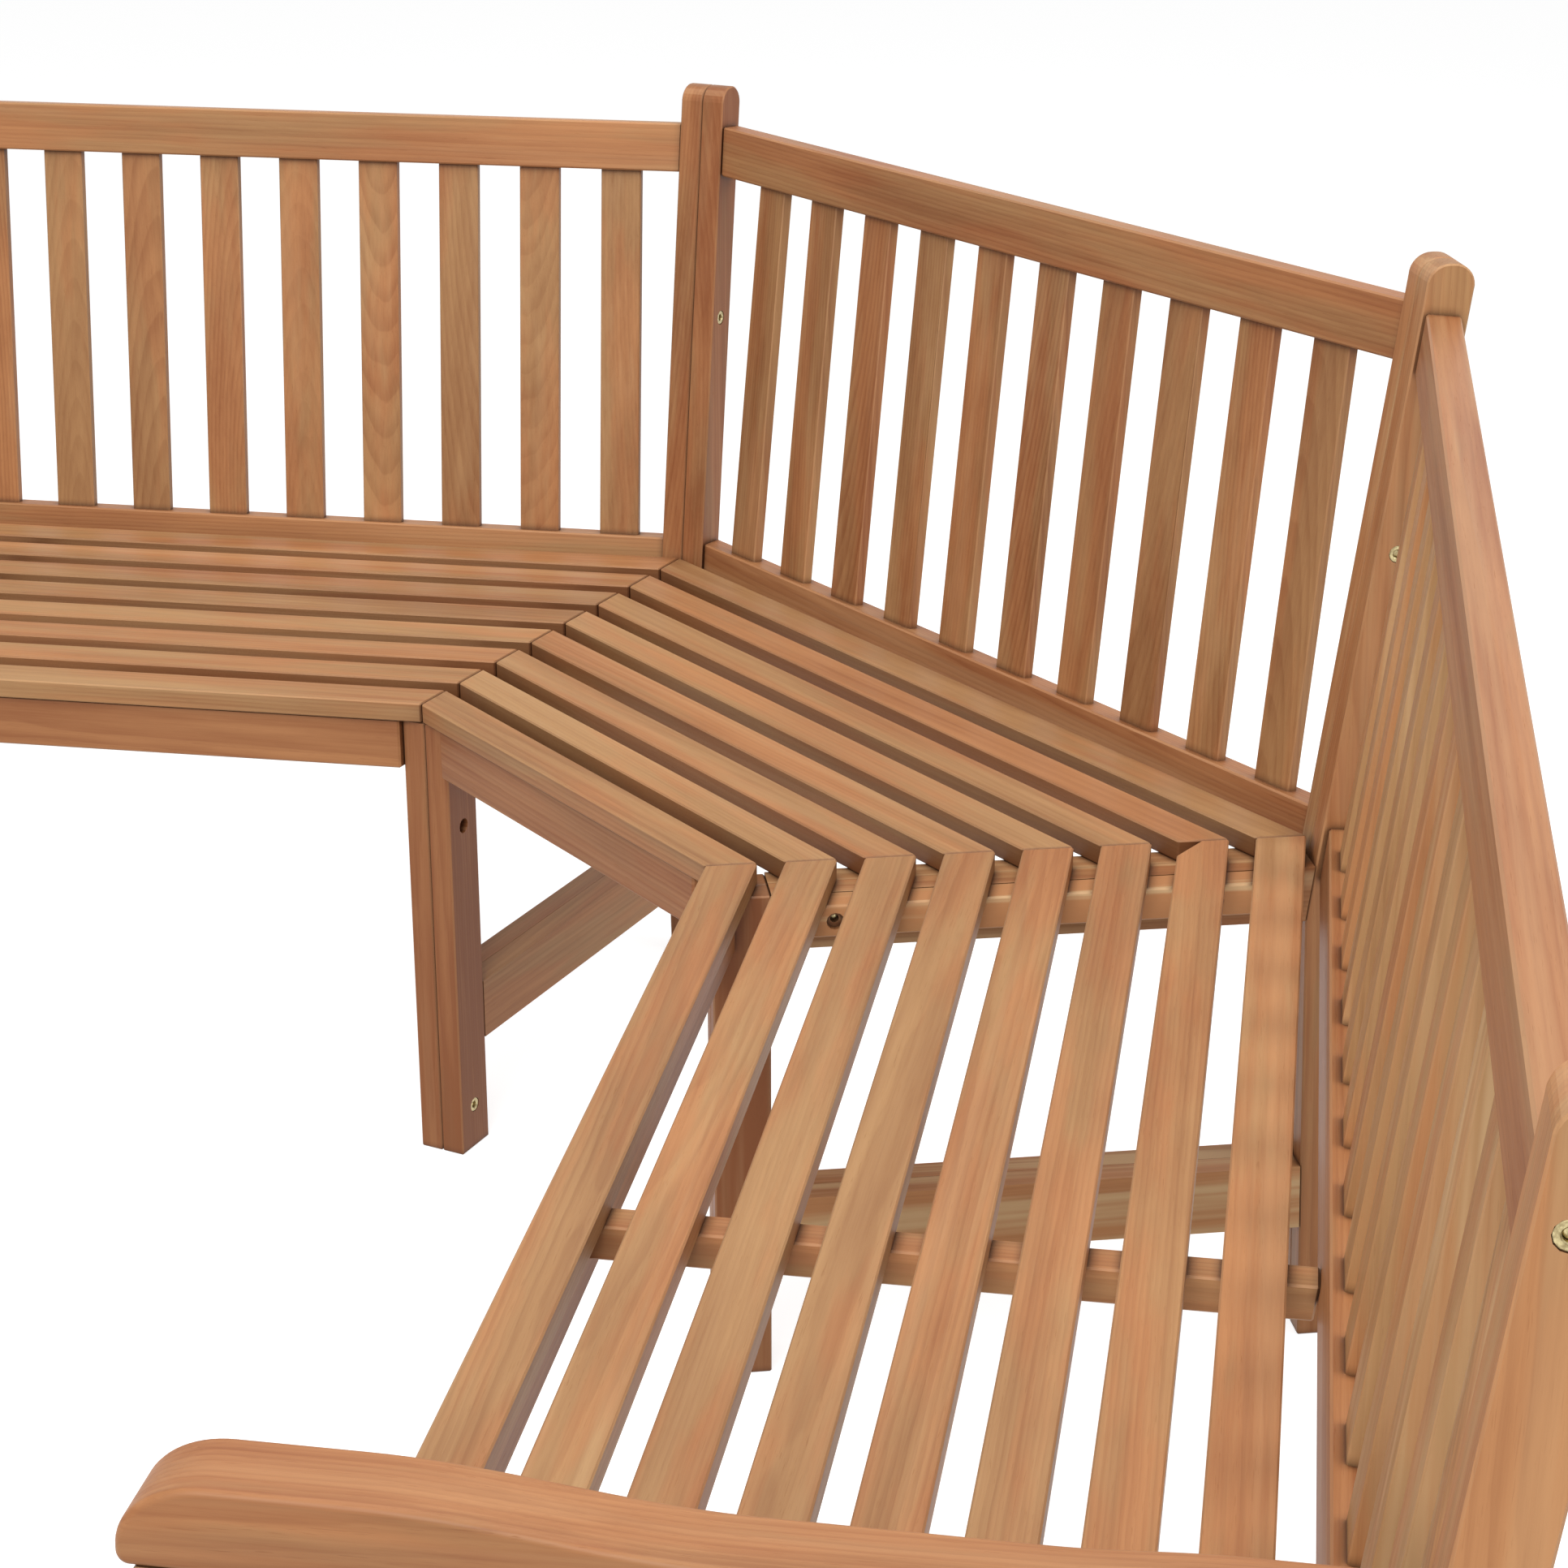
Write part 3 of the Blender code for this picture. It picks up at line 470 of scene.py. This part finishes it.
# Backs. Each is a top rail and a lower rail with upright slats tenoned between them; the packed
# solid of one back is cut into its boards here, so that each board has its own grain.
TOP_RAIL_HEIGHT = 0.046
LOWER_RAIL_HEIGHT = 0.045
SLAT_TENON = 0.006
CLEAN_CUT = 0.00002
BOARD_ROUNDING = 0.0006
BOARD_ROUND_STEPS = 2
FORWARD = 0.9


def panel_copy(panel):
    """The panel's own shape as one welded mesh."""
    bm = bmesh.new()
    bm.from_mesh(panel.data)
    bmesh.ops.remove_doubles(bm, verts=bm.verts[:], dist=CLEAN_CUT / 2)
    return bm


def make_board(bm, name, pitch, turn, **finish):
    """One board of a back as its own piece."""
    bmesh.ops.recalc_face_normals(bm, faces=bm.faces[:])
    low, high = (Vector([pick(vert.co[axis] for vert in bm.verts) for axis in range(3)])
                 for pick in (min, max))
    board = make_piece(name, bm, teak(name, (low + high) / 2, pitch, turn, **finish))
    ease_edges(board, BOARD_ROUNDING, BOARD_ROUND_STEPS)
    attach(board, "root")
    return board


def take_slats(bm):
    """Split a mesh into one mesh for each of its loose slats."""
    left = set(bm.verts)
    while left:
        found = {left.pop()}
        front = list(found)
        while front:
            near = {edge.other_vert(vert) for vert in front for edge in vert.link_edges}
            front = list(near - found)
            found |= near
        left -= found
        slat = bm.copy()
        kept = {vert.index for vert in found}
        others = [vert for vert in slat.verts if vert.index not in kept]
        bmesh.ops.delete(slat, geom=others, context="VERTS")
        yield slat


# Painted light and shade: each back's rails and slats get a tone for how brightly that back is lit, darker
# on the middle back and the right top rail, paler on the right slats.
for word, turn, tone, rail_tone, red, sap in (("left", SECTION_TURN, -0.02, -0.02, 0.0, 0.10),
                                              ("middle", 0, -0.24, -0.30, 0.4, 0.12),
                                              ("right", -SECTION_TURN, 0.36, -0.38, 0.2, 0.60)):
    panel = nodes[word + "_back_panel"]
    facing = Vector((math.sin(turn), -math.cos(turn), 0))
    fronts = [face for face in panel.data.polygons if face.normal.dot(facing) > FORWARD]
    halfway = middle_of(word + "_back_panel").z
    joints = []
    for way, height in ((1, TOP_RAIL_HEIGHT), (-1, LOWER_RAIL_HEIGHT)):
        rail_fronts = [face for face in fronts if way * (face.center.z - halfway) > 0]
        rail_front = max(rail_fronts, key=lambda face: face.area)
        along = Vector((0, 0, 1)).cross(rail_front.normal).normalized()
        up = rail_front.normal.cross(along).normalized()
        outer = max(way * vert.co.dot(up) for vert in panel.data.vertices)
        joints.append((up * way * (outer - height), up * way))
    heading = math.atan2(along.y, along.x)
    boards = []
    for label, (joint, outward) in zip(("_top_rail", "_lower_rail"), joints):
        rail = panel_copy(panel)
        cut_away(rail, joint + outward * CLEAN_CUT, -outward)
        boards.append(make_board(rail, word + label, LEVEL, heading, tone=rail_tone, red=red))
    slats = panel_copy(panel)
    for joint, outward in joints:
        cut_away(slats, joint - outward * CLEAN_CUT, outward)
    for vert in slats.verts:
        vert.co += joints[0][1] * (SLAT_TENON if vert.co.z > halfway else -SLAT_TENON)
    slats.verts.index_update()
    in_order = sorted(take_slats(slats), key=lambda slat: min(vert.co.dot(along) for vert in slat.verts))
    for number, slat in enumerate(in_order, 1):
        boards.append(make_board(slat, f"{word}_back_slat_{number}", UPRIGHT, heading, figure=1.2,
                                 tone=tone, sap=sap))
    slats.free()
    for board in boards:
        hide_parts(word + "_back_panel")

# Bolts. Steel bolts with a yellow zinc finish hold the frames together: each ends in a barrel nut
# with a rim in its recess, or lies deeper in its hole.
NUT_RADIUS = 0.0066
NUT_BORE = 0.0031
NUT_DEPTH = 0.0052
NUT_RIM = 0.0007
SHANK_RADIUS = 0.0029
SHANK_DEPTH = 0.0026
SHANK_LENGTH = 0.0150
DEEP_CROWN = 0.0100
RECESS_DEPTH = 0.0056
BOLT_SIDES = 36
MITRE_ANGLE = math.radians(28)
FRAME_THICKNESS = 0.0225
LEDGER_REACH = 0.0488
POST_BOLT = (0.5238, 0.675)
LEG_BOLTS = ((0.0255, 0.320), (0.0255, 0.0425))
LEDGER_BOLTS = ((0.094, 0.4092), (0.390, 0.4092))
END_BOLTS = ((0.5410, 0.8430), (0.4935, 0.4320), (0.0150, 0.39945))
CROWN_SHAPE = ((0.0, 0.0), (0.5, 1 / 6), (0.85, 1 / 2), (1.0, 1.0))
ZINC = (0.560, 0.470, 0.255)
ZINC_DULL = (0.300, 0.235, 0.120)
ZINC_ROUGHNESS = 0.24
TARNISH_ROUGHENS = 0.22
TARNISH_SCALE = (420.0, 420.0, 420.0)
SCRATCH_SCALE = (300.0, 5200.0, 5200.0)
SCRATCH_DEPTH = 0.0001
SCRATCH_STRENGTH = 0.25

metal, shading, shader = new_material("yellow_zinc")
spot = shading.add_named("TexCoord", {})["Object"]
tarnish = shading.ramp(shading.stretched_noise(spot, TARNISH_SCALE, 3.0, 0.6), 0.35, 0.70)
scratches = shading.stretched_noise(spot, SCRATCH_SCALE, 2.0)
bump = shading.add_named("Bump", {"Strength": SCRATCH_STRENGTH, "Distance": SCRATCH_DEPTH,
                                  "Height": scratches})
shading.feed_named(shader, {
    "Base Color": shading.mix(tarnish, ZINC, ZINC_DULL),
    "Roughness": shading.math("MULTIPLY_ADD", tarnish, TARNISH_ROUGHENS, ZINC_ROUGHNESS),
    "Metallic": 1.0,
    "Normal": bump["Normal"]})


def turn_ring(bm, profile):
    """A closed ring or plug turned about the X axis from (radius, x) points."""
    verts = [bm.verts.new((x, 0, radius)) for radius, x in profile]
    edges = [bm.edges.new(pair) for pair in zip(verts, verts[1:])]
    if profile[0][0] > 0:
        edges.append(bm.edges.new((verts[-1], verts[0])))
    bmesh.ops.spin(bm, geom=verts + edges, cent=(0, 0, 0), axis=(1, 0, 0), angle=2 * math.pi,
                   steps=BOLT_SIDES, use_merge=True)


def fit_bolt(name, place, outward, deep):
    """One bolt end in its recess; its X axis points out of the wood."""
    bm = bmesh.new()
    crown = -SHANK_DEPTH
    if deep:
        crown = -DEEP_CROWN
    else:
        rim = NUT_DEPTH - RECESS_DEPTH
        turn_ring(bm, [(NUT_BORE, -RECESS_DEPTH), (NUT_BORE, rim - NUT_RIM), (NUT_BORE + NUT_RIM, rim),
                       (NUT_RADIUS - NUT_RIM, rim), (NUT_RADIUS - NUT_RIM / 4, rim - NUT_RIM / 4),
                       (NUT_RADIUS, rim - NUT_RIM), (NUT_RADIUS, -RECESS_DEPTH)])
    shank = [(SHANK_RADIUS * out, crown - NUT_RIM * down) for out, down in CROWN_SHAPE]
    turn_ring(bm, shank + [(SHANK_RADIUS, -SHANK_LENGTH), (0, -SHANK_LENGTH)])
    bmesh.ops.remove_doubles(bm, verts=bm.verts[:], dist=CLEAN_CUT / 2)
    bmesh.ops.recalc_face_normals(bm, faces=bm.faces[:])
    turn = outward.to_track_quat("X", "Z").to_matrix().to_4x4()
    bmesh.ops.transform(bm, matrix=Matrix.Translation(place) @ turn, verts=bm.verts[:])
    piece = make_piece(name, bm, metal)
    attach(piece, "root")


for word, hand in SIDE_WORDS:
    inward = Vector((-hand * math.cos(MITRE_ANGLE), math.sin(MITRE_ANGLE), 0))
    mitre = Vector((hand * math.sin(MITRE_ANGLE), math.cos(MITRE_ANGLE), 0))
    corner = Vector((hand * HALF_FRONT, BENCH_SHIFT, 0))
    through = [("post", POST_BOLT, FRAME_THICKNESS, False),
               ("leg_1", LEG_BOLTS[0], FRAME_THICKNESS, True),
               ("leg_2", LEG_BOLTS[1], FRAME_THICKNESS, False),
               ("ledger_1", LEDGER_BOLTS[0], LEDGER_REACH, True),
               ("ledger_2", LEDGER_BOLTS[1], LEDGER_REACH, True)]
    for label, (back, height), reach, deep in through:
        middle = corner + mitre * back + Vector((0, 0, height))
        fit_bolt(f"{word}_{label}_bolt_end", middle + inward * FRAME_THICKNESS, inward, deep)
        fit_bolt(f"{word}_{label}_bolt_head", middle - inward * reach, -inward, deep)
    outward = (in_section(1, 0, 0, hand) - in_section(0, 0, 0, hand)).normalized()
    for number, (back, height) in enumerate(END_BOLTS, 1):
        fit_bolt(f"{word}_end_bolt_{number}", in_section(SIDE_FRONT, back, height, hand), outward, False)

# Floor. A wide round of matt white paper lies flat on the studio floor, and the bench stands on
# it. It keeps the bench's shadow and looks white in the picture.
FLOOR_RADIUS = 16.0
FLOOR_SIDES = 96
FLOOR_WHITE = (0.52, 0.52, 0.52)
FLOOR_ROUGHNESS = 0.9
FLOOR_LIFT = 0.81


def seen_directly(shading):
    """1 for what the camera sees straight, in gloss or through glass, and 0 for light on others."""
    seen = shading.add_named("LightPath", {})
    direct = shading.math("MAXIMUM", seen["Is Camera Ray"], seen["Is Glossy Ray"])
    return shading.math("MAXIMUM", direct, seen["Is Transmission Ray"])


paper, shading, shader = new_material("white_paper")
lift = shading.math("MULTIPLY", seen_directly(shading), FLOOR_LIFT)
shading.feed_named(shader, {"Base Color": FLOOR_WHITE, "Roughness": FLOOR_ROUGHNESS,
                            "Specular IOR Level": 0.0, "Emission Color": (1, 1, 1),
                            "Emission Strength": lift})
disc = bmesh.new()
bmesh.ops.create_circle(disc, cap_ends=True, segments=FLOOR_SIDES, radius=FLOOR_RADIUS)
floor = make_piece("floor", disc, paper)

# Light. A white room gives even light from all sides, a broad soft lamp stands at the front, and
# two weaker ones hang above and behind.
ROOM_LIGHT = 0.28
world = bpy.data.worlds.new("studio")
bpy.context.scene.world = world
world.use_nodes = True
shading = Shading(world.node_tree)
strength = shading.math("MULTIPLY_ADD", seen_directly(shading), 1 - ROOM_LIGHT, ROOM_LIGHT)
shading.feed_named(world.node_tree.nodes["Background"], {"Color": (1, 1, 1), "Strength": strength})


def add_lamp(name, place, target, size, power):
    """A square soft lamp that points at a target."""
    data = bpy.data.lights.new(name, "AREA")
    data.size = size
    data.energy = power
    lamp = add_to_scene(name, data)
    lamp.location = place
    lamp.rotation_euler = (Vector(target) - Vector(place)).to_track_quat("-Z", "Y").to_euler()


add_lamp("overhead", place=(0.2, 0.2, 3.6), target=(0, 0, 0.3), size=3.2, power=68)
add_lamp("front", place=(3.45, -3.75, 4.0), target=(0, 0, 0.5), size=3.4, power=262)
add_lamp("behind", place=(2.4, 2.0, 2.3), target=(0.6, -0.3, 0.6), size=1.8, power=34)

# Camera. A stills camera with a slightly long lens stands to the front right of the bench and looks
# a little down on it, close enough to crop both ends of the bench.
CAMERA_PLACE = (2.0845, -1.0801, 1.3922)
CAMERA_DOWN = math.radians(21.531)
CAMERA_TURN = math.radians(54.589)
CAMERA_LENS = 72.972
FILM_WIDTH = 36.0
camera_data = bpy.data.cameras.new("camera")
camera_data.lens = CAMERA_LENS
camera_data.sensor_width = FILM_WIDTH
camera = add_to_scene("camera", camera_data)
camera.location = CAMERA_PLACE
camera.rotation_euler = (math.pi / 2 - CAMERA_DOWN, 0, CAMERA_TURN)
bpy.context.scene.camera = camera
bpy.context.scene.view_settings.view_transform = "Standard"
